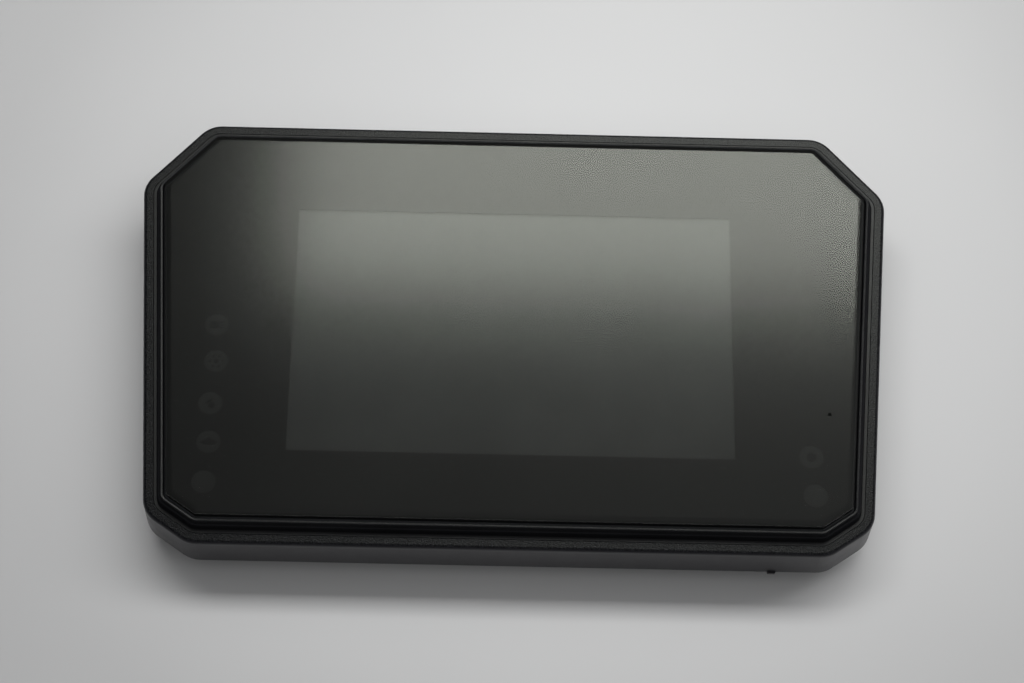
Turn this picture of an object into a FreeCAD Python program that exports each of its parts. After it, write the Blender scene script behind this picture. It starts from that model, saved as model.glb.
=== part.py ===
"""Motorcycle instrument cluster: sealed eight-sided TFT display unit lying on its back.

Axes: +X to the reader's right, +Y towards the display's upper edge, +Z out of the display face.
Origin: centre of the footprint, on the plane of the three rear mounting bosses.
All dimensions in millimetres. Heights given as "t" are measured from the top of the cover glass (0, negative going in).
Outlines are uniform offsets "r" (positive outwards) of the cover glass outline.
"""
import FreeCAD, Part
import math
import os
from FreeCAD import Vector as V

os.makedirs("parts", exist_ok=True)

# ---------------------------------------------------------------- driving dimensions
DEPTH = 23.0                 # rear mounting plane to the top of the cover glass
CORNER = 1.2                 # corner radius of the glass outline
# glass outline, right half, before centring: bottom corner, lower side corner, upper side corner, top corner
OUTLINE = [(74.40, -49.68), (81.62, -44.75), (87.92, 37.90), (75.60, 51.60)]
Y_SHIFT = -(51.60 - 49.68) / 2.0          # centres the overall box on the origin

WINDOW = (108.0, 64.8)       # visible display area, 5 inch diagonal, 15:9
GLASS_T = 2.0
LIP = 3.36                   # frame inner face
RIM = 5.86                   # frame outer face at the top
SKIRT_R = 6.22               # frame outer face at the bottom edge
SKIRT_T = -16.2              # frame bottom edge
STRIP_T = -4.65              # level of the flat strips round the raised glass
SHELF = (-6.5, -8.3)         # frame shelf, top and underside
BOARD = (-10.6, -12.2)       # circuit board, top and underside
FLANGE = (-13.0, -15.0)      # rear housing flange, top and underside
FLOOR_IN, FLOOR_OUT = 3.5, 1.5            # rear housing floor, heights above the mounting plane

TELL_L = [(-72.55, 0.17), (-72.1, -9.56), (-72.75, -20.67), (-72.5, -30.71), (-73.0, -40.97)]
TELL_R = [(72.31, -31.35), (72.97, -41.24)]
TELL_RAD = 2.95
SENSOR = (76.82, -21.07)

LUGS = [(-50, 42.6), (0, 42.6), (50, 42.6), (-50, -41.9), (0, -41.9), (50, -41.9)]
POSTS = [(-58, -24), (58, -24), (-40, 38), (40, 38), (0, 30), (16, -27)]
BOSSES = [(-62.0, 26.0), (62.0, 26.0), (0.0, -38.0)]
BOSS_R, INSERT_R, THREAD_R, INSERT_L = 5.5, 3.3, 2.1, 8.0
SOCKET_C, SOCKET_OUT, SOCKET_WALL = (0.0, 8.0), (46.0, 24.0), 1.8
FLEX_X, FLEX_W = -28.0, 28.0
VENT = (-58.0, -22.0)


# ---------------------------------------------------------------- helpers
def Z(t):
    return DEPTH + t


def outline(r=0.0):
    """Corner points, counter-clockwise from the lower right, of the glass outline offset by r."""
    pts = [V(x, y, 0) for x, y in OUTLINE]
    pts += [V(-x, y, 0) for x, y in reversed(OUTLINE)]
    n = len(pts)
    lines = []
    for i in range(n):
        a, b = pts[i], pts[(i + 1) % n]
        d = (b - a).normalize()
        nrm = V(d.y, -d.x, 0)
        lines.append((a + nrm * r, d))
    out = []
    for i in range(n):
        (p, d), (q, e) = lines[i - 1], lines[i]
        den = d.x * e.y - d.y * e.x
        s = ((q.x - p.x) * e.y - (q.y - p.y) * e.x) / den
        out.append(p + d * s + V(0, Y_SHIFT, 0))
    return out


def rounded(pts, rad, z):
    """Closed wire through pts with every corner rounded to rad."""
    n = len(pts)
    pts = [V(p.x, p.y, z) for p in pts]
    cuts = []
    for i in range(n):
        a, b, c = pts[i - 1], pts[i], pts[(i + 1) % n]
        u = (a - b).normalize()
        w = (c - b).normalize()
        half = u.getAngle(w) / 2.0
        t = rad / math.tan(half)
        bis = (u + w).normalize()
        mid = b + bis * (rad / math.sin(half) - rad)
        cuts.append((b + u * t, mid, b + w * t))
    edges = []
    for i in range(n):
        s, m, e = cuts[i]
        edges.append(Part.Arc(s, m, e).toShape())
        nxt = cuts[(i + 1) % n][0]
        edges.append(Part.LineSegment(e, nxt).toShape())
    return Part.Wire(edges)


def plate(r, t0, t1, rad=None):
    """Solid plate on the offset outline between heights t0 and t1 (from the glass top)."""
    if rad is None:
        rad = CORNER + r if r > -0.2 else 1.0
    lo, hi = min(t0, t1), max(t0, t1)
    return Part.Face(rounded(outline(r), rad, Z(lo))).extrude(V(0, 0, hi - lo))


def band(r_out, r_in, t0, t1):
    lo, hi = min(t0, t1), max(t0, t1)
    return plate(r_out, lo, hi).cut(plate(r_in, lo - 1, hi + 1))


def frustum(sections):
    """Solid through several offset outlines: (r, t, corner radius)."""
    wires = [rounded(outline(r), a, Z(t)) for r, t, a in sections]
    faces = [Part.Face(wires[0]), Part.Face(wires[-1])]
    for w0, w1 in zip(wires, wires[1:]):
        for e0, e1 in zip(w0.Edges, w1.Edges):
            faces.append(Part.makeRuledSurface(e0, e1))
    shell = Part.Shell(faces)
    shell.sewShape()
    solid = Part.Solid(shell if shell.ShapeType == "Shell" else shell.Shells[0])
    if solid.Volume < 0:
        solid.reverse()
    return solid


def profile_face(points):
    """Face in the XZ plane from (r, t[, fillet]) points, x measured from the corner arc centre."""
    pts = [V(CORNER + p[0], 0, Z(p[1])) for p in points]
    fil = [p[2] if len(p) > 2 else 0.0 for p in points]
    n = len(pts)
    cuts = []
    for i in range(n):
        a, b, c = pts[i - 1], pts[i], pts[(i + 1) % n]
        if fil[i] <= 0:
            cuts.append((b, None, b))
            continue
        u = (a - b).normalize()
        w = (c - b).normalize()
        half = u.getAngle(w) / 2.0
        t = fil[i] / math.tan(half)
        bis = (u + w).normalize()
        cuts.append((b + u * t, b + bis * (fil[i] / math.sin(half) - fil[i]), b + w * t))
    edges = []
    for i in range(n):
        s, m, e = cuts[i]
        if m is not None:
            edges.append(Part.Arc(s, m, e).toShape())
        nxt = cuts[(i + 1) % n][0]
        if (nxt - e).Length > 1e-7:
            edges.append(Part.LineSegment(e, nxt).toShape())
    return Part.Face(Part.Wire(edges))


def ring(points):
    """Sweeps a section round the glass outline: straight runs and true corner arcs."""
    face = profile_face(points)
    cen = outline(-CORNER)
    n = len(cen)
    ang = []
    for i in range(n):
        d = cen[(i + 1) % n] - cen[i]
        ang.append(math.degrees(math.atan2(-d.x, d.y)))
    solids = []
    for i in range(n):
        a_prev, a = ang[i - 1], ang[i]
        turn = (a - a_prev) % 360.0
        f = face.copy()
        f.rotate(V(0, 0, 0), V(0, 0, 1), a_prev)
        f.translate(V(cen[i].x, cen[i].y, 0))
        solids.append(f.revolve(V(cen[i].x, cen[i].y, 0), V(0, 0, 1), turn))
        g = face.copy()
        g.rotate(V(0, 0, 0), V(0, 0, 1), a)
        g.translate(V(cen[i].x, cen[i].y, 0))
        solids.append(g.extrude(cen[(i + 1) % n] - cen[i]))
    s = solids[0].multiFuse(solids[1:])
    return s.removeSplitter()


def box(cx, cy, w, h, t0, t1, rad=0.0):
    """Box centred at cx, cy (display axes) between heights t0 and t1 from the glass top."""
    lo, hi = min(t0, t1), max(t0, t1)
    cy = cy + Y_SHIFT
    if rad <= 0:
        return Part.makeBox(w, h, hi - lo, V(cx - w / 2, cy - h / 2, Z(lo)))
    p = [V(cx + w / 2, cy - h / 2, 0), V(cx + w / 2, cy + h / 2, 0),
         V(cx - w / 2, cy + h / 2, 0), V(cx - w / 2, cy - h / 2, 0)]
    return Part.Face(rounded(p, rad, Z(lo))).extrude(V(0, 0, hi - lo))


def cyl(cx, cy, rad, t0, t1):
    lo, hi = min(t0, t1), max(t0, t1)
    return Part.makeCylinder(rad, hi - lo, V(cx, cy + Y_SHIFT, Z(lo)))


def fuse(shapes):
    s = shapes[0]
    if len(shapes) > 1:
        s = s.multiFuse(shapes[1:])
    return s.removeSplitter()


NODES = {}


def save(name, shape):
    solids = shape.Solids
    if not solids:
        raise RuntimeError(name + " has no solid")
    shape = solids[0] if len(solids) == 1 else Part.makeCompound(solids)
    if not shape.isValid():
        print("INVALID", name)
    NODES[name] = shape
    shape.exportStep("parts/" + name + ".step")
    b = shape.BoundBox
    print("%-26s solids %3d  vol %9.1f  x %7.2f %7.2f  y %7.2f %7.2f  z %6.2f %6.2f" % (
        name, len(solids), shape.Volume, b.XMin, b.XMax, b.YMin, b.YMax, b.ZMin, b.ZMax))


# ---------------------------------------------------------------- housing screw positions, in the frame's channel
def channel_points():
    p = outline(1.0)
    p = [V(q.x, q.y - Y_SHIFT, 0) for q in p]
    br, sr, ur, tr = p[0], p[1], p[2], p[3]

    def side(y):
        k = (y - sr.y) / (ur.y - sr.y)
        return sr.x + (ur.x - sr.x) * k
    pts = [(-58, tr.y), (0, tr.y), (58, tr.y), (-56, br.y), (18, br.y), (56, br.y)]
    for y in (-26.0, 22.0):
        pts += [(side(y), y), (-side(y), y)]
    return pts


HOUSING_SCREWS = channel_points()

# ---------------------------------------------------------------- front frame
frame = ring([(LIP, STRIP_T, 0.08), (RIM, STRIP_T, 0.9), (SKIRT_R, SKIRT_T, 0.45), (3.95, SKIRT_T, 0.3),
              (3.85, SHELF[1]), (LIP, SHELF[1])])
shelf = band(3.7, -3.8, SHELF[1], SHELF[0])
tongue = band(-2.0, -3.8, FLANGE[0], SHELF[1] + 0.4)
bosses = []
for x, y in HOUSING_SCREWS:
    bosses.append(cyl(x, y, 2.75, FLANGE[0], SHELF[1] + 0.4))
boss_block = fuse(bosses).common(plate(4.4, FLANGE[0] - 1, 0))
frame = fuse([frame, shelf, tongue, boss_block])
# gussets that tie the skirt to the shelf between the screw bosses
gussets = []
for x in (-36, -18, 20, 38):
    gussets.append(box(x, 51.60 + 3.0, 1.4, 2.2, -12.6, SHELF[1] + 0.2))
    gussets.append(box(x, -49.68 - 3.0, 1.4, 2.2, -12.6, SHELF[1] + 0.2))
frame = fuse([frame] + gussets)
# groove for the bezel seal, pilot holes
frame = frame.cut(band(2.95, 1.65, SHELF[0] - 0.8, SHELF[0] + 0.01))
frame = frame.cut([cyl(x, y, 1.25, FLANGE[0] - 1, -7.9) for x, y in HOUSING_SCREWS])
# moulding gate vestige on the lower edge
vest = box(63.5, -49.68 - 6.22, 2.0, 0.9, SKIRT_T, SKIRT_T + 0.8, 0.3)
frame = fuse([frame, vest])
save("front_frame", frame)

# ---------------------------------------------------------------- lens bezel
bez = ring([(0.42, -4.2), (0.42, -2.3, 0.1), (0.74, -1.6, 0.12), (1.22, -1.47, 0.14), (1.62, -2.8, 0.12), (2.02, -2.95, 0.12),
            (2.45, STRIP_T, 0.15), (3.30, STRIP_T, 0.08), (3.30, SHELF[0]), (1.2, SHELF[0]), (1.2, -4.2)][::-1])
ledge = band(0.5, -4.0, -4.2, -2.5)
ears = []
for x, y in LUGS:
    ears.append(cyl(x, y, 3.0, -6.15, -2.5))
    ears.append(box(x, y + (3.0 if y > 0 else -3.0), 6.0, 6.0, -4.2, -2.5))
ear_block = fuse(ears).common(plate(0.2, -7, -2))
bez = fuse([bez, ledge, ear_block])
bez = bez.cut([cyl(x, y, 1.05, -6.5, -3.4) for x, y in LUGS])
save("lens_bezel", bez)

# seal bead between bezel and frame shelf
save("bezel_seal", band(2.85, 1.75, SHELF[0] - 0.8, SHELF[0]))

# ---------------------------------------------------------------- cover glass, print, tape
glass = frustum([(-0.15, -GLASS_T, 1.05), (0.0, -1.85, CORNER), (0.0, -0.52, CORNER), (-0.10, -0.30, 1.15),
                 (-0.42, -0.15, 1.05), (-0.92, -0.045, 0.95), (-1.5, 0.0, 0.9)])
save("cover_glass", glass)
save("glass_tape", band(-0.3, -3.8, -2.5, -2.17))

film = plate(-0.25, -2.15, -2.02)
film = film.cut(box(0, 0, WINDOW[0], WINDOW[1], -3, -1, 0.4))


def disc(c, r=TELL_RAD):
    return cyl(c[0], c[1], r, -3, -1)


def bar(c, dx, dy, w, h, rot=0.0):
    b = Part.makeBox(w, h, 2.0, V(-w / 2, -h / 2, Z(-3)))
    b.rotate(V(0, 0, 0), V(0, 0, 1), rot)
    b.translate(V(c[0] + dx, c[1] + dy + Y_SHIFT, 0))
    return b


def symbol_disc(c, symbol):
    """Translucent disc with an opaque symbol left standing in it."""
    d = disc(c)
    return d.cut(symbol) if symbol else d


# generic symbols: headlamp, sun disc, oil drop, engine block, plain disc
lamp = [bar(TELL_L[0], -0.9, 0.0, 1.3, 1.9), disc((TELL_L[0][0] - 0.25, TELL_L[0][1]), 0.95),
        bar(TELL_L[0], 1.35, 0.75, 1.1, 0.26), bar(TELL_L[0], 1.45, 0.0, 1.1, 0.26), bar(TELL_L[0], 1.35, -0.75, 1.1, 0.26)]
sun = [disc((TELL_L[1][0] + 1.5 * math.cos(math.radians(a)), TELL_L[1][1] + 1.5 * math.sin(math.radians(a))), 0.3)
       for a in range(0, 360, 60)] + [disc(TELL_L[1], 0.55)]
drop = [disc((TELL_L[2][0] + 0.3, TELL_L[2][1] - 0.5), 0.75), bar(TELL_L[2], -0.35, 0.55, 1.7, 0.4, 35)]
block = [bar(TELL_L[3], 0.0, -0.1, 2.5, 1.15), bar(TELL_L[3], 0.0, 0.75, 1.1, 0.6), bar(TELL_L[3], -1.6, -0.1, 0.7, 0.45),
         bar(TELL_L[3], 1.6, -0.1, 0.7, 0.45)]
rim_disc = [disc(TELL_R[0], 1.15)]
opens = [symbol_disc(TELL_L[0], lamp), symbol_disc(TELL_L[1], sun), symbol_disc(TELL_L[2], drop),
         symbol_disc(TELL_L[3], block), symbol_disc(TELL_L[4], None),
         symbol_disc(TELL_R[0], rim_disc), symbol_disc(TELL_R[1], None),
         cyl(SENSOR[0], SENSOR[1], 0.45, -3, -1)]
film = film.cut(opens)
save("mask_film", film)

inside = plate(-4.3, -12, 0)
save("telltale_diffuser_left", box(-72.75, -20.4, 8.6, 50.0, -2.44, -2.17, 1.0).common(inside))
save("telltale_diffuser_right", box(72.6, -36.0, 8.6, 19.6, -2.44, -2.17, 1.0).common(inside))

# ---------------------------------------------------------------- display module
tape = box(0, 0, 116.0, 71.0, -2.63, -2.17).cut(box(0, 0, 110.0, 66.8, -3, -2))
save("lcd_bond_tape", tape)
save("lcd_polarizer", box(0, 0, 114.6, 69.6, -2.85, -2.65))
save("lcd_cell", box(0, -0.2, 118.6, 73.0, -3.95, -2.87))
mid = box(0, 0, 120.0, 74.8, -5.33, -3.97, 0.4).cut(box(0, 0, 114.0, 69.0, -6, -3))
save("backlight_mid_frame", mid)
can = box(0, 0, 120.7, 75.5, -5.65, -3.2, 0.5).cut(box(0, 0, 120.1, 74.9, -5.35, -3.0, 0.2))
can = can.cut(box(FLEX_X, -37.6, FLEX_W + 2.0, 2.0, -3.9, -3.0))
can = can.cut([box(x, 0, 6.0, 3.0, -6, -5, 1.0) for x in (-30, 0, 30)])
save("backlight_can", can)
save("optical_films", box(0, 0, 113.4, 68.4, -4.35, -3.99))
save("light_guide_plate", box(0, 0.5, 113.4, 67.4, -5.22, -4.37))
save("backlight_led_bar", fuse([box(0, -33.9, 112.0, 0.5, -5.22, -4.37)] +
                               [box(x, -33.55, 3.0, 0.4, -5.1, -4.5) for x in range(-48, 49, 12)]))
save("backlight_reflector", box(0, 0, 113.4, 68.4, -5.34, -5.24))
save("lcd_cushion", box(0, 0, 112.0, 66.0, -6.13, -5.67, 2.0).cut(box(0, 0, 96.0, 50.0, -7, -5, 2.0)))

# ---------------------------------------------------------------- carrier between display and board
car = box(0, 0.3, 128.0, 91.0, -7.35, -6.15, 3.0)
car = car.cut(box(0, 2.0, 84.0, 40.0, -8, -6, 4.0))
ribs = [box(0, 24.0, 100.0, 1.2, -8.6, -7.3), box(0, -20.0, 100.0, 1.2, -8.6, -7.3)]
car = fuse([car] + ribs + [cyl(x, y, 2.6, BOARD[0], -7.2) for x, y in POSTS])
car = car.cut([cyl(x, y, 1.05, BOARD[0] - 1, -7.0) for x, y in POSTS])
car = car.cut([cyl(x, y, 1.35, -9, -6) for x, y in LUGS])
car = car.cut(box(FLEX_X, -39.4, FLEX_W + 2.0, 2.2, -9, -6, 0.6))
save("display_carrier", car)


def screw(x, y, head_t, tip_t, head_r, head_h, shank_r, torx=0.9):
    """Pan-head screw driven from behind: the head hangs below head_t, the shank rises to tip_t."""
    head = cyl(x, y, head_r, head_t - head_h, head_t)
    edge = [e for e in head.Edges if abs(e.BoundBox.ZMin - Z(head_t - head_h)) < 1e-6
            and abs(e.BoundBox.ZMax - Z(head_t - head_h)) < 1e-6 and e.Length > 1]
    head = head.makeFillet(min(0.5, head_h * 0.45), edge[:1])
    shank = cyl(x, y, shank_r, head_t, tip_t - 0.5)
    tip = Part.makeCone(shank_r, shank_r * 0.45, 0.5, V(x, y + Y_SHIFT, Z(tip_t - 0.5)))
    s = fuse([head, shank, tip])
    star = []
    for k in range(3):
        b = Part.makeBox(torx * 2, torx * 0.62, head_h * 0.6, V(-torx, -torx * 0.31, 0))
        b.rotate(V(0, 0, 0), V(0, 0, 1), 60 * k)
        b.translate(V(x, y + Y_SHIFT, Z(head_t - head_h) - 0.01))
        star.append(b)
    star = fuse(star)
    return s.cut(star)


save("carrier_screws", Part.makeCompound([screw(x, y, -7.35, -3.6, 2.1, 1.3, 1.02) for x, y in LUGS]))

# ---------------------------------------------------------------- circuit board
board = plate(-4.6, BOARD[1], BOARD[0])
board = board.cut(box(FLEX_X, -39.4, FLEX_W + 2.0, 2.2, -13, -10, 0.6))
board = board.cut([cyl(x, y, 1.35, -13, -10) for x, y in POSTS])
PINS = [(SOCKET_C[0] + (i - 6) * 2.54, SOCKET_C[1] + j * 2.8) for i in range(13) for j in (-1, 1)]
board = board.cut([cyl(x, y, 0.5, -13, -10) for x, y in PINS])
save("main_board", board)
save("board_screws", Part.makeCompound([screw(x, y, BOARD[1], -7.9, 2.1, 1.3, 1.02) for x, y in POSTS]))

BT = BOARD[1]
mcu = [box(-36, 6, 20, 20, BT - 1.5, BT - 0.15, 0.6)]
for k in range(-8, 9):
    mcu += [box(-36 + k * 1.05, 6 + 10.6, 0.4, 1.4, BT - 0.5, BT), box(-36 + k * 1.05, 6 - 10.6, 0.4, 1.4, BT - 0.5, BT)]
    mcu += [box(-36 + 10.6, 6 + k * 1.05, 1.4, 0.4, BT - 0.5, BT), box(-36 - 10.6, 6 + k * 1.05, 1.4, 0.4, BT - 0.5, BT)]
save("microcontroller", fuse(mcu))
save("memory_chips", Part.makeCompound([box(-58, -2, 11, 8, BT - 1.0, BT, 0.3), box(-38, -16, 13, 9, BT - 1.0, BT, 0.3)]))
save("bus_transceiver", box(32, 26, 5.0, 6.0, BT - 1.5, BT, 0.2))
ind = []
for x in (36, 50):
    ind.append(fuse([box(x, 8, 10, 10, BT - 1.0, BT, 1.0), box(x, 8, 9, 9, BT - 4.2, BT - 0.8, 2.2)]))
save("power_inductors", Part.makeCompound(ind))
caps = []
for x, y in ((36, -8), (46, -8), (36, -19)):
    c = fuse([box(x, y, 8.2, 8.2, BT - 0.8, BT, 0.8), cyl(x, y, 3.9, BT - 6.6, BT - 0.7)])
    caps.append(c)
save("buffer_capacitors", Part.makeCompound(caps))
save("voltage_regulator", fuse([box(56, -8, 6.6, 6.2, BT - 2.2, BT, 0.3), box(56, -12.2, 5.2, 2.4, BT - 0.6, BT)]))

# telltale lamps, sensor and their light boxes on the display side
leds = []
for x, y in TELL_L + TELL_R:
    leds.append(fuse([box(x, y, 3.2, 2.6, BOARD[0], BOARD[0] + 0.6, 0.2), cyl(x, y, 1.1, BOARD[0] + 0.5, BOARD[0] + 1.0)]))
save("telltale_leds", Part.makeCompound(leds))
save("ambient_light_sensor", box(SENSOR[0], SENSOR[1], 2.0, 2.0, BOARD[0], BOARD[0] + 0.7, 0.1))
save("sensor_light_pipe", fuse([cyl(SENSOR[0], SENSOR[1], 0.95, -9.8, -3.2), cyl(SENSOR[0], SENSOR[1], 1.2, -9.4, -8.4)]))

lb = box(-72.75, -20.4, 9.2, 50.6, BOARD[0], -2.46, 0.8).common(inside)
lb = lb.cut([box(x, y, 6.6, 7.6, -11, -2, 1.2) for x, y in TELL_L])
save("telltale_light_box_left", lb)
rb = box(72.6, -36.0, 9.2, 20.2, BOARD[0], -2.46, 0.8).common(inside)
sleeve = fuse([cyl(SENSOR[0], SENSOR[1], 1.75, BOARD[0], -3.0), box(75.2, -24.5, 2.2, 6.0, BOARD[0], -3.0)])
rb = fuse([rb, sleeve.common(inside)])
rb = rb.cut([box(x, y, 6.6, 7.6, -11, -2, 1.2) for x, y in TELL_R])
rb = rb.cut([cyl(SENSOR[0], SENSOR[1], 1.0, -9.41, -2), cyl(SENSOR[0], SENSOR[1], 1.25, -9.42, -8.38),
             box(SENSOR[0], SENSOR[1], 2.2, 2.2, -11, -9.4)])
save("telltale_light_box_right", rb)

# ---------------------------------------------------------------- display ribbon and its connector
FY0 = -36.72                 # the cell's lower edge
drop_y = -39.4
conn_y = -33.6
ft = 0.2
z_hi, z_lo = -3.45, -13.35
R1 = 0.9
y0, y1 = FY0 + Y_SHIFT, drop_y + Y_SHIFT
outer = []


def ribbon_section():
    """Closed outline in the YZ plane: out of the cell, down past the board, back to the connector."""
    o = ft / 2

    def path(off):
        a = V(0, y0, Z(z_hi) + off)
        b = V(0, y1 + R1, Z(z_hi) + off)
        c = V(0, y1 - off, Z(z_hi) - R1)
        d = V(0, y1 - off, Z(z_lo) + R1)
        e = V(0, y1 + R1, Z(z_lo) - off)
        f = V(0, conn_y + Y_SHIFT, Z(z_lo) - off)
        c1 = V(0, y1 + R1, Z(z_hi) - R1)
        c2 = V(0, y1 + R1, Z(z_lo) + R1)
        s = (R1 + off) / math.sqrt(2)
        m1 = c1 + V(0, -s, s)
        m2 = c2 + V(0, -s, -s)
        return a, b, m1, c, d, m2, e, f
    A = path(o)
    B = path(-o)
    ed = [Part.LineSegment(A[0], A[1]).toShape(), Part.Arc(A[1], A[2], A[3]).toShape(),
          Part.LineSegment(A[3], A[4]).toShape(), Part.Arc(A[4], A[5], A[6]).toShape(),
          Part.LineSegment(A[6], A[7]).toShape(), Part.LineSegment(A[7], B[7]).toShape(),
          Part.LineSegment(B[7], B[6]).toShape(), Part.Arc(B[6], B[5], B[4]).toShape(),
          Part.LineSegment(B[4], B[3]).toShape(), Part.Arc(B[3], B[2], B[1]).toShape(),
          Part.LineSegment(B[1], B[0]).toShape(), Part.LineSegment(B[0], A[0]).toShape()]
    return Part.Face(Part.Wire(ed))


flex = ribbon_section()
flex.translate(V(FLEX_X - FLEX_W / 2, 0, 0))
flex = flex.extrude(V(FLEX_W, 0, 0))
save("lcd_flex", flex)

# connector body on the board's underside: mouth towards -Y, open top channel for the latch
cw = FLEX_W + 5.0
body = box(FLEX_X, -31.2, cw, 6.0, -14.7, BT)
body = body.cut(box(FLEX_X, -32.6, FLEX_W + 0.6, 4.0, -13.65, -13.05))         # ribbon mouth
body = body.cut(box(FLEX_X, -33.2, FLEX_W + 1.6, 3.2, -15, -13.6))             # latch channel
PIV_Y, PIV_T = -33.1, -14.2
PIV = V(FLEX_X, PIV_Y + Y_SHIFT, Z(PIV_T))
bore = Part.makeCylinder(0.50, cw, V(FLEX_X - cw / 2, PIV.y, PIV.z), V(1, 0, 0))
caps_ = [Part.makeCylinder(0.50, 0.6, V(FLEX_X + s * (cw / 2) - (0.6 if s > 0 else 0), PIV.y, PIV.z), V(1, 0, 0)) for s in (-1, 1)]
body = body.cut(bore)
body = fuse([body] + caps_)
save("flex_connector", body)
lw = FLEX_W + 0.8
latch = Part.makeBox(lw, 2.6, 0.6, V(FLEX_X - lw / 2, PIV.y - 2.3, PIV.z - 0.38))
rod = Part.makeCylinder(0.45, lw, V(FLEX_X - lw / 2, PIV.y, PIV.z), V(1, 0, 0))
pins = Part.makeCylinder(0.45, cw - 1.6, V(FLEX_X - (cw - 1.6) / 2, PIV.y, PIV.z), V(1, 0, 0))
latch = fuse([latch, rod, pins])
save("flex_connector_latch", latch)

# ---------------------------------------------------------------- harness socket
sx, sy = SOCKET_OUT
mouth_t = 0.4 - DEPTH
shroud = box(SOCKET_C[0], SOCKET_C[1], sx, sy, mouth_t, BT, 2.4)
shroud = shroud.cut(box(SOCKET_C[0], SOCKET_C[1], sx - 2 * SOCKET_WALL, sy - 2 * SOCKET_WALL, mouth_t - 1, 8.8 - DEPTH, 1.4))
keys = [box(SOCKET_C[0] - 14.0, SOCKET_C[1] - sy / 2 + 2.3, 1.6, 1.4, mouth_t + 0.6, 8.9 - DEPTH),
        box(SOCKET_C[0] + 10.0, SOCKET_C[1] - sy / 2 + 2.3, 1.6, 1.4, mouth_t + 0.6, 8.9 - DEPTH),
        box(SOCKET_C[0] + 14.5, SOCKET_C[1] + sy / 2 - 2.3, 1.6, 1.4, mouth_t + 0.6, 8.9 - DEPTH)]
shroud = fuse([shroud] + keys)
shroud = shroud.cut([box(x, y, 0.70, 0.70, -15, -12) for x, y in PINS])
save("connector_shroud", shroud)


def pin(x, y):
    p = box(x, y, 0.64, 0.64, 5.4 - DEPTH, BOARD[0] + 0.8)
    t0 = rounded([V(x + .32, y - .32 + Y_SHIFT, 0), V(x + .32, y + .32 + Y_SHIFT, 0), V(x - .32, y + .32 + Y_SHIFT, 0),
                  V(x - .32, y - .32 + Y_SHIFT, 0)], 0.05, 5.4)
    t1 = rounded([V(x + .14, y - .14 + Y_SHIFT, 0), V(x + .14, y + .14 + Y_SHIFT, 0), V(x - .14, y + .14 + Y_SHIFT, 0),
                  V(x - .14, y - .14 + Y_SHIFT, 0)], 0.05, 4.9)
    return fuse([p, Part.makeLoft([t1, t0], True, True)])


save("connector_pins", Part.makeCompound([pin(x, y) for x, y in PINS]))
seal = box(SOCKET_C[0], SOCKET_C[1], sx + 3.3, sy + 3.3, 3.52 - DEPTH, 5.4 - DEPTH, 3.6)
seal = seal.cut(box(SOCKET_C[0], SOCKET_C[1], sx + 0.06, sy + 0.06, 3 - DEPTH, 6 - DEPTH, 2.43))
save("connector_seal", seal)

# ---------------------------------------------------------------- rear housing
FO, FI = FLOOR_OUT - DEPTH, FLOOR_IN - DEPTH
tub = frustum([(-4.40, FO, 0.9), (-3.94, FO + 0.09, 1.1), (-3.55, FO + 0.35, 1.25), (-3.28, FO + 0.75, 1.4),
               (-3.15, FO + 1.2, 1.5), (-1.9, FLANGE[1] + 0.5, 1.6)])
flange = plate(3.5, FLANGE[1], FLANGE[0])
shell = fuse([tub, flange])
void = fuse([plate(-4.0, FLANGE[1] - 0.01, FLANGE[0] + 1.0), frustum([(-5.3, FI, 1.0), (-4.0, FLANGE[1], 1.0)])])
shell = shell.cut(void)
mounts = [cyl(x, y, BOSS_R, -DEPTH, 9.4 - DEPTH) for x, y in BOSSES]
webs = []
for x, y in BOSSES:
    for a in (0, 60, 120):
        w = Part.makeBox(15.6, 1.3, 2.6, V(-7.8, -0.65, FLOOR_IN - 0.2))
        w.rotate(V(0, 0, 0), V(0, 0, 1), a)
        w.translate(V(x, y + Y_SHIFT, 0))
        webs.append(w)
collar = box(SOCKET_C[0], SOCKET_C[1], sx + 6.6, sy + 6.6, FI - 0.2, 6.5 - DEPTH, 4.4)
shell = fuse([shell] + mounts + [w.common(plate(-4.5, -DEPTH, 0)) for w in webs] + [collar])
shell = shell.cut(box(SOCKET_C[0], SOCKET_C[1], sx + 3.4, sy + 3.4, FI, 7 - DEPTH, 3.65))
shell = shell.cut(box(SOCKET_C[0], SOCKET_C[1], sx + 0.4, sy + 0.4, -DEPTH - 1, 7 - DEPTH, 2.6))
shell = shell.cut([cyl(x, y, INSERT_R, -DEPTH - 1, INSERT_L + 0.2 - DEPTH) for x, y in BOSSES])
shell = shell.cut([cyl(x, y, 1.6, FLANGE[1] - 1, FLANGE[0] + 1) for x, y in HOUSING_SCREWS])
shell = shell.cut(band(-2.1, -3.7, FLANGE[0] - 1.1, FLANGE[0] + 0.01))
# outside: stiffening ribs, bare label recess, vent seat
rib = []
for x in range(-24, 25, 6):
    rib.append(box(x, -19.6, 1.2, 20.0, 0.7 - DEPTH, FO + 0.2, 0.5))
rim_ring = box(SOCKET_C[0], SOCKET_C[1], sx + 6.6, sy + 6.6, 0.6 - DEPTH, FO + 0.2, 5.0)
rim_ring = rim_ring.cut(box(SOCKET_C[0], SOCKET_C[1], sx + 3.0, sy + 3.0, -DEPTH, FO + 1.0, 3.4))
rib.append(rim_ring)
for x, y in BOSSES:
    rib.append(Part.makeCone(BOSS_R, BOSS_R + 1.0, FLOOR_OUT - 0.3, V(x, y + Y_SHIFT, 0.3)))
    for a in (45, 135):
        w = Part.makeBox(19.6, 1.2, FLOOR_OUT - 0.3, V(-9.8, -0.6, 0.5))
        w.rotate(V(0, 0, 0), V(0, 0, 1), a)
        w.translate(V(x, y + Y_SHIFT, 0))
        rib.append(w)
shell = fuse([shell] + rib)
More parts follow.
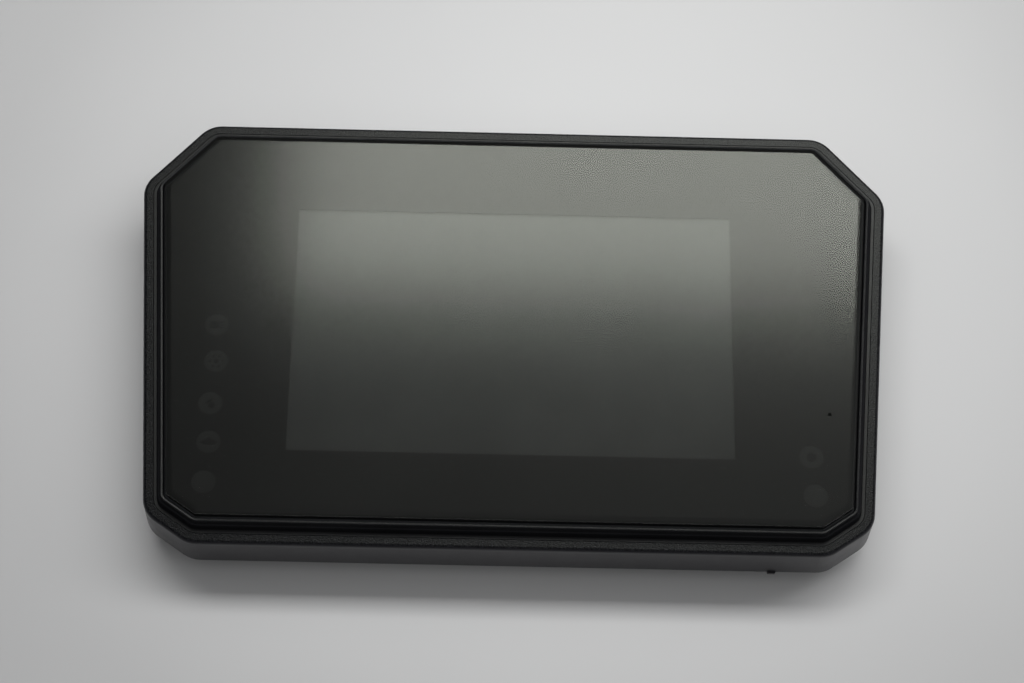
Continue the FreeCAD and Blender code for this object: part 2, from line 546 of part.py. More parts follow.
shell = shell.cut([cyl(x, y, INSERT_R, -DEPTH - 1, INSERT_L + 0.2 - DEPTH) for x, y in BOSSES])
shell = shell.cut(box(48.0, -16.0, 34.0, 18.0, -DEPTH, FO + 0.3, 1.5))
shell = shell.cut([cyl(VENT[0], VENT[1], 6.0, -DEPTH, FO + 0.8), cyl(VENT[0], VENT[1], 1.8, -DEPTH, FI + 1)])
save("rear_housing", shell)

save("housing_gasket", band(-2.2, -3.6, FLANGE[0] - 1.1, FLANGE[0]))
save("housing_screws", Part.makeCompound([screw(x, y, FLANGE[1], -8.2, 2.5, 1.5, 1.22, 1.1) for x, y in HOUSING_SCREWS]))

inserts = []
for x, y in BOSSES:
    b = cyl(x, y, INSERT_R - 0.02, -DEPTH, INSERT_L - DEPTH).cut(cyl(x, y, THREAD_R, -DEPTH - 1, INSERT_L - DEPTH + 1))
    groove = cyl(x, y, INSERT_R + 1, 3.6 - DEPTH, 4.4 - DEPTH).cut(cyl(x, y, INSERT_R - 0.4, 3 - DEPTH, 5 - DEPTH))
    mouthc = Part.makeCone(THREAD_R + 0.45, THREAD_R, 0.45, V(x, y + Y_SHIFT, 0))
    inserts.append(b.cut([groove, mouthc]))
save("mount_inserts", Part.makeCompound(inserts))

save("vent_membrane", cyl(VENT[0], VENT[1], 4.6, FO + 0.5, FO + 0.78))
vc = cyl(VENT[0], VENT[1], 5.85, FO + 0.02, FO + 0.48)
slots = []
for a in (0, 60, 120):
    w = Part.makeBox(7.0, 0.9, 2.0, V(-3.5, -0.45, FLOOR_OUT - 0.5))
    w.rotate(V(0, 0, 0), V(0, 0, 1), a)
    w.translate(V(VENT[0], VENT[1] + Y_SHIFT, 0))
    slots.append(w.cut(cyl(VENT[0], VENT[1], 1.2, -DEPTH, -DEPTH + 4)))
save("vent_cap", vc.cut(slots))
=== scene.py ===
"""Looks of the motorcycle display cluster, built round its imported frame."""

import math

import bpy
from mathutils import Matrix, Vector


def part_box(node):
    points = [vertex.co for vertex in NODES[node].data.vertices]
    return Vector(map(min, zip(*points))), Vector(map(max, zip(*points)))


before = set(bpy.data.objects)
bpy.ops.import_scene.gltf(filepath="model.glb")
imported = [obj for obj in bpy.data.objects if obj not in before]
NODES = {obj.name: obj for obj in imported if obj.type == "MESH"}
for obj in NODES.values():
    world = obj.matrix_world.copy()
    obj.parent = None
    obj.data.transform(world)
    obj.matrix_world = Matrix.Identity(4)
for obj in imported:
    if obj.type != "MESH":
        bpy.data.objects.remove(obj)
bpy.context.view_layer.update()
BODY = "cluster"
GLASS_ROUGH = 0.140
scene = bpy.context.scene


# ---------------------------------------------------------------- node helpers
def new_material(name):
    m = bpy.data.materials.new(name)
    m.use_nodes = True
    nt = m.node_tree
    for n in list(nt.nodes):
        nt.nodes.remove(n)
    out = nt.nodes.new("ShaderNodeOutputMaterial")
    p = nt.nodes.new("ShaderNodeBsdfPrincipled")
    nt.links.new(p.outputs[0], out.inputs[0])
    return m, nt, p, out


def coords(nt, scale=(1, 1, 1), rot=(0, 0, 0)):
    tc = nt.nodes.new("ShaderNodeTexCoord")
    mp = nt.nodes.new("ShaderNodeMapping")
    mp.inputs["Scale"].default_value = scale
    mp.inputs["Rotation"].default_value = rot
    nt.links.new(tc.outputs["Object"], mp.inputs["Vector"])
    return mp.outputs[0]


def noise(nt, vec, scale, detail=3.0, rough=0.5, out="Fac"):
    n = nt.nodes.new("ShaderNodeTexNoise")
    n.inputs["Scale"].default_value = scale
    n.inputs["Detail"].default_value = detail
    n.inputs["Roughness"].default_value = rough
    nt.links.new(vec, n.inputs["Vector"])
    return n.outputs[out]


def ramp(nt, fac, stops):
    r = nt.nodes.new("ShaderNodeValToRGB")
    el = r.color_ramp.elements
    while len(el) > 1:
        el.remove(el[-1])
    el[0].position, el[0].color = stops[0][0], col(stops[0][1])
    for pos, c in stops[1:]:
        e = el.new(pos)
        e.color = col(c)
    nt.links.new(fac, r.inputs[0])
    return r.outputs[0]


def col(c):
    if isinstance(c, (int, float)):
        c = (c, c, c)
    return (c[0], c[1], c[2], 1.0)


def maths(nt, op, a, b=None, clamp=False):
    n = nt.nodes.new("ShaderNodeMath")
    n.operation = op
    n.use_clamp = clamp
    for i, v in enumerate((a, b)):
        if v is None:
            continue
        if isinstance(v, (int, float)):
            n.inputs[i].default_value = v
        else:
            nt.links.new(v, n.inputs[i])
    return n.outputs[0]


def mix_rgb(nt, fac, a, b, mode="MIX"):
    n = nt.nodes.new("ShaderNodeMix")
    n.data_type = "RGBA"
    n.blend_type = mode
    for sock, v in ((n.inputs[0], fac), (n.inputs[6], a), (n.inputs[7], b)):
        if isinstance(v, (int, float)) and sock == n.inputs[0]:
            sock.default_value = v
        elif isinstance(v, (int, float, tuple, list)):
            sock.default_value = col(v)
        else:
            nt.links.new(v, sock)
    return n.outputs[2]


def bump(nt, height, strength, distance, normal=None):
    b = nt.nodes.new("ShaderNodeBump")
    b.inputs["Strength"].default_value = strength
    b.inputs["Distance"].default_value = distance
    nt.links.new(height, b.inputs["Height"])
    if normal is not None:
        nt.links.new(normal, b.inputs["Normal"])
    return b.outputs[0]


def height_step(nt, z_lo, z_hi):
    """0 below z_lo, 1 above z_hi, in the row frame."""
    tc = nt.nodes.new("ShaderNodeTexCoord")
    s = nt.nodes.new("ShaderNodeSeparateXYZ")
    nt.links.new(tc.outputs["Object"], s.inputs[0])
    r = nt.nodes.new("ShaderNodeMapRange")
    r.inputs["From Min"].default_value = z_lo
    r.inputs["From Max"].default_value = z_hi
    nt.links.new(s.outputs[2], r.inputs["Value"])
    return r.outputs[0]


def paint(node, mat):
    o = NODES[node]
    o.data.materials.clear()
    o.data.materials.append(mat)


# ---------------------------------------------------------------- materials
def plastic(name, base, rough, grain=0.0, grain_scale=3000.0, fine=0.15, spec=0.5, tint=(1.0, 1.0, 1.04), dust=0.25):
    """Moulded plastic: slow tone drift, fine spark-eroded grain, thin dust."""
    m, nt, p, _ = new_material(name)
    v = coords(nt)
    drift = noise(nt, v, 40.0, 3.0, 0.55)
    lo = tuple(base * 0.82 * t for t in tint)
    hi = tuple(base * 1.22 * t for t in tint)
    c = ramp(nt, drift, [(0.3, lo), (0.7, hi)])
    if dust > 0:
        speck = noise(nt, v, 2600.0, 2.0, 0.6)
        dusty = ramp(nt, speck, [(0.62, 0.0), (0.78, dust)])
        c = mix_rgb(nt, maths(nt, "MULTIPLY", dusty, 0.5), c, (0.10, 0.10, 0.098))
    nt.links.new(c, p.inputs["Base Color"])
    r = ramp(nt, noise(nt, v, 160.0, 4.0, 0.6), [(0.3, rough * 0.9), (0.7, rough * 1.12)])
    nt.links.new(r, p.inputs["Roughness"])
    p.inputs["Specular IOR Level"].default_value = spec
    f = noise(nt, v, 9000.0, 2.0, 0.5)
    nrm = bump(nt, f, fine, 0.00002)
    if grain > 0:
        nrm = bump(nt, noise(nt, v, grain_scale, 2.0, 0.65), grain, 0.00012, nrm)
    nt.links.new(nrm, p.inputs["Normal"])
    return m, nt, p


def metal(name, colour, rough, brush=(1, 1, 1), scale=900.0, metallic=1.0, depth=0.25):
    """Plated or bare metal: brushed tone and roughness, faint tarnish."""
    m, nt, p, _ = new_material(name)
    v = coords(nt, brush)
    streak = noise(nt, v, scale, 4.0, 0.6)
    lo = tuple(x * 0.80 for x in colour)
    hi = tuple(min(1.0, x * 1.10) for x in colour)
    c = ramp(nt, streak, [(0.3, lo), (0.7, hi)])
    stain = ramp(nt, noise(nt, coords(nt), 120.0, 4.0, 0.6), [(0.5, 0.0), (0.75, 0.35)])
    c = mix_rgb(nt, stain, c, tuple(x * 0.6 for x in colour))
    nt.links.new(c, p.inputs["Base Color"])
    nt.links.new(ramp(nt, streak, [(0.25, rough - 0.07), (0.75, rough + 0.09)]), p.inputs["Roughness"])
    p.inputs["Metallic"].default_value = metallic
    nt.links.new(bump(nt, streak, depth, 0.00003), p.inputs["Normal"])
    return m


def sheet(name, lo, hi, rough, scale=60.0, spec=0.5, fibre=0.2, fscale=4000.0):
    """Thin film, tape, rubber or foam: two-tone mottling and a fine surface."""
    m, nt, p, _ = new_material(name)
    v = coords(nt)
    nt.links.new(ramp(nt, noise(nt, v, scale, 4.0, 0.6), [(0.3, lo), (0.7, hi)]), p.inputs["Base Color"])
    nt.links.new(ramp(nt, noise(nt, v, scale * 4, 3.0, 0.6), [(0.3, rough - 0.05), (0.7, rough + 0.05)]), p.inputs["Roughness"])
    p.inputs["Specular IOR Level"].default_value = spec
    nt.links.new(bump(nt, noise(nt, v, fscale, 2.0, 0.6), fibre, 0.00004), p.inputs["Normal"])
    return m


def see_through(name, tint, rough, part):
    """Clear solid: part of the light goes straight through, the rest is surface gloss."""
    m, nt, p, out = new_material(name)
    v = coords(nt)
    nt.links.new(ramp(nt, noise(nt, v, 90.0, 3.0, 0.5), [(0.3, tuple(x * 0.9 for x in tint)), (0.7, tint)]), p.inputs["Base Color"])
    nt.links.new(ramp(nt, noise(nt, v, 400.0, 3.0, 0.5), [(0.3, rough - 0.02), (0.7, rough + 0.03)]), p.inputs["Roughness"])
    t = nt.nodes.new("ShaderNodeBsdfTransparent")
    t.inputs[0].default_value = col(tint)
    mx = nt.nodes.new("ShaderNodeMixShader")
    mx.inputs[0].default_value = part
    nt.links.new(p.outputs[0], mx.inputs[1])
    nt.links.new(t.outputs[0], mx.inputs[2])
    nt.links.new(mx.outputs[0], out.inputs[0])
    return m


# levels of the moulded steps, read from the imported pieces
FRAME_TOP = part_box("front_frame")[1][2]
BEZEL_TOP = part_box("lens_bezel")[1][2]


# outer frame: grained top strip whose bright flecks are painted glints, satin skirt whose tone carries painted bounce
# light from the table
def frame_material():
    m, nt, p, _ = new_material("frame_moulding")
    v = coords(nt)
    top = height_step(nt, FRAME_TOP - 0.00030, FRAME_TOP - 0.00006)
    drift = noise(nt, v, 55.0, 3.0, 0.55)
    # skirt colour: the plastic's own dark tone, lightened and tinted purple as painted bounce light from the table
    side = ramp(nt, drift, [(0.3, F_SIDE_WITH_PAINTED_BOUNCE[0]), (0.7, F_SIDE_WITH_PAINTED_BOUNCE[1])])
    grain = noise(nt, v, 3100.0, 2.0, 0.60)
    # strip colour: dark grained plastic; its brightest flecks on the grain are painted glints of the lamps
    strip = ramp(nt, grain, [(0.36, F_TOP_WITH_PAINTED_GLINTS[0]), (0.56, F_TOP_WITH_PAINTED_GLINTS[1]), (0.74, F_TOP_WITH_PAINTED_GLINTS[2])])
    c = mix_rgb(nt, top, side, strip)
    nt.links.new(c, p.inputs["Base Color"])
    rs = ramp(nt, noise(nt, v, 220.0, 4.0, 0.6), [(0.3, 0.29), (0.7, 0.37)])
    rt = ramp(nt, grain, [(0.3, 0.24), (0.7, 0.33)])
    nt.links.new(mix_rgb(nt, top, rs, rt), p.inputs["Roughness"])
    sp = nt.nodes.new("ShaderNodeMapRange")
    nt.links.new(top, sp.inputs["Value"])
    sp.inputs["To Min"].default_value = 0.52
    sp.inputs["To Max"].default_value = 0.25
    nt.links.new(sp.outputs[0], p.inputs["Specular IOR Level"])
    fine = bump(nt, noise(nt, v, 7000.0, 2.0, 0.5), 0.12, 0.00002)
    g = maths(nt, "MULTIPLY", grain, maths(nt, "ADD", maths(nt, "MULTIPLY", top, 0.92), 0.05))
    nt.links.new(bump(nt, g, 0.34, 0.00010, fine), p.inputs["Normal"])
    return m


# bezel: ridge is grained and its colour is lightened with bright flecks as a painted highlight, the stepped wall is
# dark and smooth, the flat strip is satin
def bezel_material():
    m, nt, p, _ = new_material("bezel_moulding")
    v = coords(nt)
    ridge = height_step(nt, BEZEL_TOP - 0.00042, BEZEL_TOP - 0.00020)
    strip = maths(nt, "SUBTRACT", 1.0, height_step(nt, FRAME_TOP + 0.00006, FRAME_TOP + 0.00030))
    grain = noise(nt, v, 3000.0, 2.0, 0.60)
    wall = ramp(nt, noise(nt, v, 70.0, 3.0, 0.55), [(0.3, B_WALL[0]), (0.7, B_WALL[1])])
    flat = ramp(nt, grain, [(0.35, B_FLAT[0]), (0.7, B_FLAT[1])])
    # ridge colour: own dark tone, lifted with bright flecks as a painted highlight of the lamps
    ridge_tone_with_painted_highlight = ramp(nt, grain, [(0.36, B_RIDGE_WITH_PAINTED_HIGHLIGHT[0]), (0.58, B_RIDGE_WITH_PAINTED_HIGHLIGHT[1]), (0.76, B_RIDGE_WITH_PAINTED_HIGHLIGHT[2])])
    low = mix_rgb(nt, strip, wall, flat)
    nt.links.new(mix_rgb(nt, ridge, low, ridge_tone_with_painted_highlight), p.inputs["Base Color"])
    rl = ramp(nt, noise(nt, v, 300.0, 4.0, 0.6), [(0.3, 0.33), (0.7, 0.41)])
    rh = ramp(nt, grain, [(0.3, 0.30), (0.7, 0.42)])
    nt.links.new(mix_rgb(nt, ridge, rl, rh), p.inputs["Roughness"])
    sp = nt.nodes.new("ShaderNodeMapRange")
    nt.links.new(maths(nt, "MAXIMUM", ridge, strip), sp.inputs["Value"])
    sp.inputs["To Min"].default_value = 0.06
    sp.inputs["To Max"].default_value = 0.42
    nt.links.new(sp.outputs[0], p.inputs["Specular IOR Level"])
    fine = bump(nt, noise(nt, v, 7000.0, 2.0, 0.5), 0.15, 0.00002)
    g = maths(nt, "MULTIPLY", grain, maths(nt, "ADD", maths(nt, "MULTIPLY", ridge, 0.8), 0.12))
    nt.links.new(bump(nt, g, 0.45, 0.00012, fine), p.inputs["Normal"])
    return m


def within(nt, v, centre, radius):
    """1 inside a disc of the glass plan, 0 outside."""
    d = nt.nodes.new("ShaderNodeVectorMath")
    d.operation = "DISTANCE"
    nt.links.new(v, d.inputs[0])
    d.inputs[1].default_value = (centre[0], centre[1], 0.0)
    return maths(nt, "LESS_THAN", d.outputs["Value"], radius)


def glass_material():
    """Anti-glare glass: the etched top scatters reflections and lets the layers bonded behind it show, the edge is ground dark."""
    m, nt, p, out = new_material("anti_glare_glass")
    v = coords(nt)
    geo = nt.nodes.new("ShaderNodeNewGeometry")
    nt.links.new(ramp(nt, noise(nt, v, 30.0, 3.0, 0.5), [(0.3, (0.0084, 0.0088, 0.0084)), (0.7, (0.0104, 0.0108, 0.0102))]), p.inputs["Base Color"])
    nt.links.new(ramp(nt, noise(nt, v, 25.0, 3.0, 0.5), [(0.3, GLASS_ROUGH - 0.004), (0.7, GLASS_ROUGH + 0.004)]), p.inputs["Roughness"])
    p.inputs["IOR"].default_value = 1.5
    p.inputs["Specular Tint"].default_value = (1.0, 1.0, 0.965, 1.0)
    hole = within(nt, coords(nt, (1, 1, 0)), PINHOLE, 0.00045)
    sp = nt.nodes.new("ShaderNodeMapRange")
    nt.links.new(hole, sp.inputs["Value"])
    sp.inputs["To Min"].default_value = 1.0
    sp.inputs["To Max"].default_value = 0.0
    nt.links.new(sp.outputs[0], p.inputs["Specular IOR Level"])
    t = nt.nodes.new("ShaderNodeBsdfTransparent")
    nt.links.new(mix_rgb(nt, hole, (0.97, 0.985, 0.97), (0.0, 0.0, 0.0)), t.inputs[0])
    top = nt.nodes.new("ShaderNodeMixShader")
    top.inputs[0].default_value = 0.5
    nt.links.new(t.outputs[0], top.inputs[1])
    nt.links.new(p.outputs[0], top.inputs[2])
    clear = nt.nodes.new("ShaderNodeBsdfTransparent")
    clear.inputs[0].default_value = (0.98, 1.0, 0.985, 1.0)
    sep = nt.nodes.new("ShaderNodeSeparateXYZ")
    nt.links.new(geo.outputs["True Normal"], sep.inputs[0])
    up = maths(nt, "MULTIPLY", maths(nt, "GREATER_THAN", sep.outputs[2], 0.3), maths(nt, "SUBTRACT", 1.0, geo.outputs["Backfacing"]))
    body = nt.nodes.new("ShaderNodeMixShader")
    nt.links.new(up, body.inputs[0])
    nt.links.new(clear.outputs[0], body.inputs[1])
    nt.links.new(top.outputs[0], body.inputs[2])
    e = nt.nodes.new("ShaderNodeBsdfPrincipled")
    ground = noise(nt, v, 4000.0, 2.0, 0.6)
    nt.links.new(ramp(nt, ground, [(0.3, (0.006, 0.0065, 0.0065)), (0.7, (0.012, 0.013, 0.0125))]), e.inputs["Base Color"])
    nt.links.new(ramp(nt, ground, [(0.3, 0.44), (0.7, 0.56)]), e.inputs["Roughness"])
    e.inputs["Specular IOR Level"].default_value = 0.3
    side = maths(nt, "LESS_THAN", maths(nt, "ABSOLUTE", sep.outputs[2]), 0.3)
    my = nt.nodes.new("ShaderNodeMixShader")
    nt.links.new(side, my.inputs[0])
    nt.links.new(body.outputs[0], my.inputs[1])
    nt.links.new(e.outputs[0], my.inputs[2])
    nt.links.new(my.outputs[0], out.inputs[0])
    return m


def board_material():
    """Green solder mask over copper runs, with bare tinned vias."""
    m, nt, p, _ = new_material("solder_mask")
    v = coords(nt)
    runs = []
    for sc, rot in (((420.0, 420.0, 1.0), 0.0), ((260.0, 260.0, 1.0), math.pi / 2)):
        b = nt.nodes.new("ShaderNodeTexBrick")
        nt.links.new(coords(nt, (1, 1, 1), (0, 0, rot)), b.inputs["Vector"])
        b.inputs["Scale"].default_value = sc[0]
        b.inputs["Mortar Size"].default_value = 0.035
        b.inputs["Color1"].default_value = col(0.0)
        b.inputs["Color2"].default_value = col(0.0)
        b.inputs["Mortar"].default_value = col(1.0)
        runs.append(b.outputs[0])
    run = maths(nt, "MAXIMUM", runs[0], runs[1])
    patch = ramp(nt, noise(nt, v, 70.0, 2.0, 0.5), [(0.42, 0.0), (0.46, 1.0)])
    run = maths(nt, "MULTIPLY", run, patch)
    mask = ramp(nt, noise(nt, v, 45.0, 3.0, 0.5), [(0.3, (0.010, 0.075, 0.030)), (0.7, (0.016, 0.100, 0.042))])
    c = mix_rgb(nt, run, mask, (0.040, 0.190, 0.070))
    vor = nt.nodes.new("ShaderNodeTexVoronoi")
    vor.inputs["Scale"].default_value = 210.0
    nt.links.new(v, vor.inputs["Vector"])
    via = maths(nt, "LESS_THAN", vor.outputs["Distance"], 0.075)
    c = mix_rgb(nt, via, c, (0.70, 0.68, 0.60))
    nt.links.new(c, p.inputs["Base Color"])
    nt.links.new(maths(nt, "MULTIPLY", via, 0.9), p.inputs["Metallic"])
    nt.links.new(ramp(nt, noise(nt, v, 200.0, 3.0, 0.5), [(0.3, 0.28), (0.7, 0.38)]), p.inputs["Roughness"])
    nt.links.new(bump(nt, maths(nt, "MAXIMUM", run, via), 0.5, 0.00004), p.inputs["Normal"])
    return m


def film_material():
    """Amber ribbon: copper conductors side by side under polyimide."""
    m, nt, p, _ = new_material("ribbon_film")
    v = coords(nt)
    w_ = nt.nodes.new("ShaderNodeTexWave")
    w_.wave_type = "BANDS"
    w_.bands_direction = "X"
    w_.inputs["Scale"].default_value = 320.0
    w_.inputs["Distortion"].default_value = 0.0
    nt.links.new(v, w_.inputs["Vector"])
    line = ramp(nt, w_.outputs["Fac"], [(0.40, 0.0), (0.55, 1.0)])
    c = mix_rgb(nt, line, (0.42, 0.17, 0.025), (0.62, 0.30, 0.08))
    c = mix_rgb(nt, ramp(nt, noise(nt, v, 150.0, 3.0, 0.5), [(0.4, 0.0), (0.7, 0.3)]), c, (0.30, 0.12, 0.02))
    nt.links.new(c, p.inputs["Base Color"])
    nt.links.new(ramp(nt, line, [(0.0, 0.36), (1.0, 0.26)]), p.inputs["Roughness"])
    nt.links.new(bump(nt, line, 0.4, 0.00002), p.inputs["Normal"])
    return m


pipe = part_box("sensor_light_pipe")
PINHOLE = ((pipe[0][0] + pipe[1][0]) / 2, (pipe[0][1] + pipe[1][1]) / 2)

# tones: frame skirt, frame strip, bezel wall, bezel strip, bezel ridge
# frame skirt tone: own dark plastic plus painted bounce light from the table
F_SIDE_WITH_PAINTED_BOUNCE = ((0.0150, 0.0145, 0.0178), (0.0190, 0.0184, 0.0224))
# frame strip tones: the two dark stops are the plastic, the bright stop is a painted glint
F_TOP_WITH_PAINTED_GLINTS = ((0.0014, 0.0015, 0.0019), (0.0048, 0.0050, 0.0061), (0.0280, 0.0286, 0.0322))
B_WALL = ((0.0086, 0.0088, 0.0100), (0.0116, 0.0118, 0.0134))
B_FLAT = ((0.0036, 0.0037, 0.0043), (0.0072, 0.0074, 0.0084))
# bezel ridge tones: the darkest stop is the plastic, the lighter stops are a painted highlight
B_RIDGE_WITH_PAINTED_HIGHLIGHT = ((0.0050, 0.0051, 0.0058), (0.0130, 0.0132, 0.0148), (0.0420, 0.0425, 0.0460))

paint("front_frame", frame_material())
paint("lens_bezel", bezel_material())
paint("cover_glass", glass_material())
paint("mask_film", plastic("screen_print", 0.0045, 0.6, spec=0.0, dust=0.0)[0])
paint("lcd_polarizer", plastic("polariser", 0.026, 0.13, fine=0.02, spec=0.20, dust=0.0, tint=(1.0, 1.0, 1.0))[0])
smoked = plastic("smoked_diffuser", 0.0088, 0.5, spec=0.1, dust=0.0)[0]
paint("telltale_diffuser_left", smoked)
paint("telltale_diffuser_right", smoked)
rear = plastic("rear_moulding", 0.022, 0.48, grain=0.45, grain_scale=2600.0, spec=0.45)[0]
paint("rear_housing", rear)
paint("vent_cap", plastic("vent_cap_moulding", 0.018, 0.36, grain=0.1, spec=0.5, dust=0.1)[0])
tape = sheet("foam_tape", (0.008, 0.008, 0.008), (0.014, 0.014, 0.014), 0.75, 300.0, 0.2, 0.5, 5000.0)
for n in ("glass_tape", "lcd_bond_tape"):
    paint(n, tape)
rubber = sheet("black_silicone", (0.016, 0.016, 0.017), (0.026, 0.026, 0.027), 0.55, 200.0, 0.35, 0.15, 3000.0)
for n in ("bezel_seal", "housing_gasket"):
    paint(n, rubber)
paint("connector_seal", sheet("brown_silicone", (0.16, 0.045, 0.018), (0.24, 0.07, 0.03), 0.48, 220.0, 0.4, 0.15, 3000.0))
paint("lcd_cushion", sheet("cushion_foam", (0.012, 0.012, 0.012), (0.040, 0.040, 0.040), 0.92, 2600.0, 0.1, 0.9, 2600.0))
paint("vent_membrane", sheet("porous_membrane", (0.74, 0.74, 0.73), (0.86, 0.86, 0.85), 0.85, 2500.0, 0.2, 0.8, 4500.0))
white = sheet("white_reflective_plastic", (0.78, 0.78, 0.76), (0.86, 0.86, 0.84), 0.45, 90.0, 0.5, 0.2, 2500.0)
for n in ("backlight_mid_frame", "telltale_light_box_left", "telltale_light_box_right"):
    paint(n, white)
paint("optical_films", sheet("diffusing_film", (0.84, 0.84, 0.83), (0.90, 0.90, 0.89), 0.60, 50.0, 0.4, 0.25, 6000.0))
paint("lcd_cell", see_through("laminated_glass", (0.20, 0.22, 0.22), 0.08, 0.35))
acrylic = see_through("clear_acrylic", (0.88, 0.92, 0.91), 0.06, 0.6)
paint("light_guide_plate", acrylic)
paint("sensor_light_pipe", sheet("smoked_acrylic", (0.0030, 0.0031, 0.0034), (0.0046, 0.0047, 0.0050), 0.30, 90.0, 0.08, 0.05))
paint("backlight_reflector", metal("silver_film", (0.86, 0.87, 0.88), 0.18, scale=300.0, depth=0.05))
paint("backlight_can", metal("stamped_stainless", (0.56, 0.56, 0.55), 0.34, (0.05, 1, 1), 1600.0))
paint("backlight_led_bar", sheet("lamp_strip", (0.72, 0.70, 0.52), (0.88, 0.86, 0.70), 0.40, 160.0))
paint("display_carrier", plastic("carrier_moulding", 0.055, 0.55, grain=0.3, spec=0.45, dust=0.1)[0])
zinc = metal("zinc_plate", (0.62, 0.60, 0.54), 0.34, scale=1400.0)
for n in ("carrier_screws", "board_screws"):
    paint(n, zinc)
paint("housing_screws", metal("black_passivated", (0.09, 0.09, 0.095), 0.42, scale=1500.0))
paint("mount_inserts", metal("machined_brass", (0.72, 0.50, 0.20), 0.30, (1, 1, 12), 500.0))
paint("connector_pins", metal("tin_plate", (0.78, 0.76, 0.70), 0.26, (1, 1, 0.2), 1500.0))
paint("main_board", board_material())
chip = plastic("chip_epoxy", 0.022, 0.52, grain=0.15, spec=0.4, dust=0.1)[0]
for n in ("microcontroller", "memory_chips", "bus_transceiver", "voltage_regulator", "ambient_light_sensor"):
    paint(n, chip)
paint("power_inductors", sheet("ferrite", (0.055, 0.055, 0.058), (0.10, 0.10, 0.10), 0.62, 900.0, 0.4, 0.5, 2500.0))
paint("buffer_capacitors", metal("aluminium_can", (0.72, 0.72, 0.73), 0.28, (1, 1, 0.1), 1200.0))
paint("telltale_leds", sheet("lamp_body", (0.78, 0.78, 0.66), (0.88, 0.88, 0.80), 0.35, 400.0))
paint("lcd_flex", film_material())
paint("flex_connector", sheet("natural_nylon", (0.62, 0.57, 0.45), (0.74, 0.69, 0.57), 0.42, 130.0))
paint("flex_connector_latch", sheet("brown_nylon", (0.060, 0.034, 0.022), (0.090, 0.052, 0.036), 0.40, 150.0))
paint("connector_shroud", plastic("socket_moulding", 0.020, 0.30, grain=0.08, spec=0.5, dust=0.12)[0])

# ---------------------------------------------------------------- stage, light, camera
def floor():
    bpy.ops.mesh.primitive_plane_add(size=6.0, location=(0, 0, 0))
    o = bpy.context.object
    o.name = "table"
    m, nt, p, _ = new_material("table_top")
    v = coords(nt)
    c = ramp(nt, noise(nt, v, 5.0, 4.0, 0.55), [(0.3, (0.745, 0.745, 0.748)), (0.7, (0.780, 0.780, 0.780))])
    # painted shade: the table darkens with distance from a point near the object, standing in for lamp falloff and lens
    # vignetting
    d = nt.nodes.new("ShaderNodeVectorMath")
    d.operation = "DISTANCE"
    nt.links.new(v, d.inputs[0])
    d.inputs[1].default_value = (0.012, 0.028, 0.0)
    painted_light_falloff = ramp(nt, d.outputs["Value"], [(0.0, 1.0), (0.045, 0.974), (0.080, 0.915), (0.117, 0.84), (0.150, 0.74), (0.20, 0.68)])
    c = mix_rgb(nt, 1.0, c, painted_light_falloff, "MULTIPLY")
    nt.links.new(c, p.inputs["Base Color"])
    p.inputs["Roughness"].default_value = 0.42
    p.inputs["Specular IOR Level"].default_value = 0.5
    o.data.materials.append(m)
    return o


floor()


H = 1.60
KEY = (0.97, 1.0, 0.93)


def ceiling(name, x0, x1, y0, y1, radiance, colour=(1, 1, 1), z=H):
    """Soft panel under the ceiling, facing down, of a given radiance."""
    w, h = x1 - x0, y1 - y0
    d = bpy.data.lights.new(name, "AREA")
    d.shape = "RECTANGLE"
    d.size, d.size_y = w, h
    d.energy = radiance * math.pi * w * h
    d.color = colour
    o = bpy.data.objects.new(name, d)
    scene.collection.objects.link(o)
    o.location = ((x0 + x1) / 2, (y0 + y1) / 2, z)
    return o


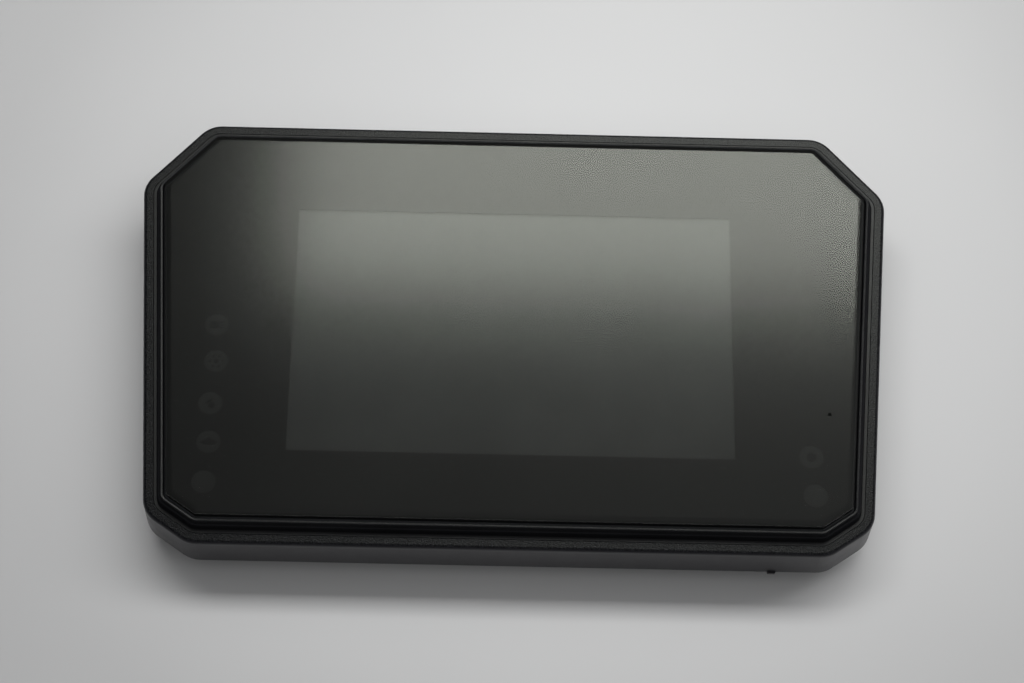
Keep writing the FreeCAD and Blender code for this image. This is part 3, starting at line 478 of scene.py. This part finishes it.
soft = ceiling("soft_panel", -0.42, 1.25, 0.215, 0.470, 6.0, z=0.811)
soft.visible_glossy = False
sheen = ceiling("window_panel", -0.210, 0.60, 0.763, 1.40, 5.90, KEY)
sheen.visible_diffuse = False
fill = ceiling("fill_panel", -1.8, 1.8, -1.8, 1.8, 0.24)
fill.visible_glossy = False
side = ceiling("side_panel", 0.80, 1.40, -0.65, -0.05, 0.45, z=0.55)
side.rotation_euler = (Vector((0.0, 0.0, 0.0)) - side.location).to_track_quat("-Z", "Y").to_euler()
side.visible_glossy = False

w = bpy.data.worlds.new("room")
scene.world = w
w.use_nodes = True
wt = w.node_tree
bg = wt.nodes["Background"]
wc = wt.nodes.new("ShaderNodeTexCoord")
ws = wt.nodes.new("ShaderNodeSeparateXYZ")
wt.links.new(wc.outputs["Generated"], ws.inputs[0])
wx = wt.nodes.new("ShaderNodeMath")
wx.operation = "MULTIPLY_ADD"
wt.links.new(ws.outputs[0], wx.inputs[0])
wx.inputs[1].default_value = 0.80
wt.links.new(ws.outputs[2], wx.inputs[2])
wr = wt.nodes.new("ShaderNodeValToRGB")
wr.color_ramp.elements[0].color = (0.080, 0.081, 0.085, 1.0)
wr.color_ramp.elements[1].position = 1.0
wr.color_ramp.elements[1].color = (0.235, 0.238, 0.240, 1.0)
for pos, lum in ((0.76, 0.085), (0.88, 0.165)):
    e = wr.color_ramp.elements.new(pos)
    e.color = (lum, lum * 1.01, lum * 1.02, 1.0)
wt.links.new(wx.outputs[0], wr.inputs[0])
wt.links.new(wr.outputs[0], bg.inputs[0])
bg.inputs[1].default_value = 1.0

cam_d = bpy.data.cameras.new("camera")
cam = bpy.data.objects.new("camera", cam_d)
scene.collection.objects.link(cam)
cam_d.sensor_width = 36.0
cam_d.lens = 2347.0 / 1024.0 * 36.0
cam_d.clip_start = 0.01
AZ, TILT, ROLL = -0.027858, 0.422288, 0.047521
c = Vector((math.sin(AZ) * math.sin(TILT), -math.cos(AZ) * math.sin(TILT), math.cos(TILT)))
fwd = -c
up0 = Vector((-math.sin(AZ) * math.cos(TILT), math.cos(AZ) * math.cos(TILT), math.sin(TILT)))
right = fwd.cross(up0).normalized()
up = right.cross(fwd)
rr = math.cos(ROLL) * right + math.sin(ROLL) * up
uu = -math.sin(ROLL) * right + math.cos(ROLL) * up
rot = Matrix((rr, uu, c)).transposed()
cam.matrix_world = Matrix.Translation((-0.006712, -0.239205, 0.545490)) @ rot.to_4x4()
scene.camera = cam

scene.view_settings.view_transform = "Standard"
scene.view_settings.look = "None"
